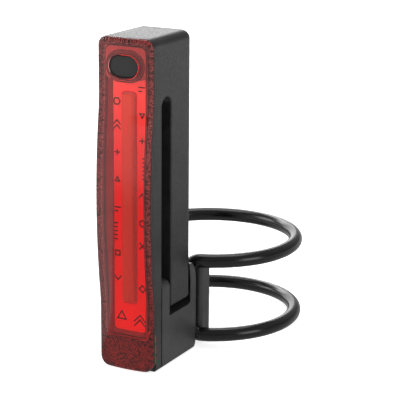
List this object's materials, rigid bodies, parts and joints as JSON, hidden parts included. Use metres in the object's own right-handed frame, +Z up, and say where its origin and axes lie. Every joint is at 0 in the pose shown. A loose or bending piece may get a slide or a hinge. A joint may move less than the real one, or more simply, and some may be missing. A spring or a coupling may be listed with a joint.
{
  "type": "bicycle rear light",
  "caption": "Slim bicycle rear light with a bulged clear red lens and an oval push button, slid onto a seat-post mount held by an elastic cord loop.",
  "frame": {"origin": "on the axis of the seat post, level with the base of the light", "axes": "+Z up along the post and the light's length, -Y the way the lamp shines, +X across"},
  "size_m": [0.041, 0.0611, 0.07],
  "materials": {
    "housing_black": "fine matte grain",
    "mount_black": "fine matte grain",
    "button_black": "fine matte",
    "lens_red": "polished, clear red",
    "strap_rubber": "satin rubber",
    "pad_rubber": "matte rubber",
    "gasket_rubber": "matte rubber",
    "bezel_red": "satin",
    "lamp_board": "white solder mask",
    "logic_board": "green solder mask",
    "diffuser_white": "milky",
    "reflector": "bright white film",
    "flex_amber": "polyimide",
    "chip_black": "moulded epoxy",
    "cell_foil": "laminated pouch foil",
    "foam_grey": "foam",
    "lead_insulation": "wire insulation",
    "steel": "stamped steel",
    "nickel": "nickel plated",
    "insulator_black": "moulded"
  },
  "bodies": {
    "strap_mount": {"mount_cradle": "mount_black", "keeper_plate": "steel", "rest_pad": "pad_rubber", "saddle_pad": "pad_rubber", "strap": "strap_rubber"},
    "light": {"housing": "housing_black", "end_cap": "housing_black", "cap_gasket": "gasket_rubber", "lens": "lens_red", "lens_gasket": "gasket_rubber", "button_bezel": "bezel_red", "tact_switch": "chip_black", "led_board": "lamp_board", "led_strip": "diffuser_white", "reflector_film": "reflector", "led_flex": "flex_amber", "main_board": "logic_board", "board_chips": "chip_black", "battery_leads": "lead_insulation", "battery_cell": "cell_foil", "battery_pad": "foam_grey", "charge_flex": "flex_amber", "charge_board": "logic_board", "socket_shell": "steel", "socket_tongue": "insulator_black", "latch_magnet": "nickel"},
    "button": {"button_cap": "button_black", "switch_plunger": "insulator_black"}
  },
  "joints": [
    {"name": "light_slide", "type": "slide", "parent": "strap_mount", "child": "light", "axis": [0, 0, 1], "range_m": [0, 0.025]},
    {"name": "button_press", "type": "slide", "parent": "light", "child": "button", "axis": [0, 1, 0], "range_m": [0, 0.0003], "stiffness_N_per_m": 500, "springref_m": -0.001}
  ]
}
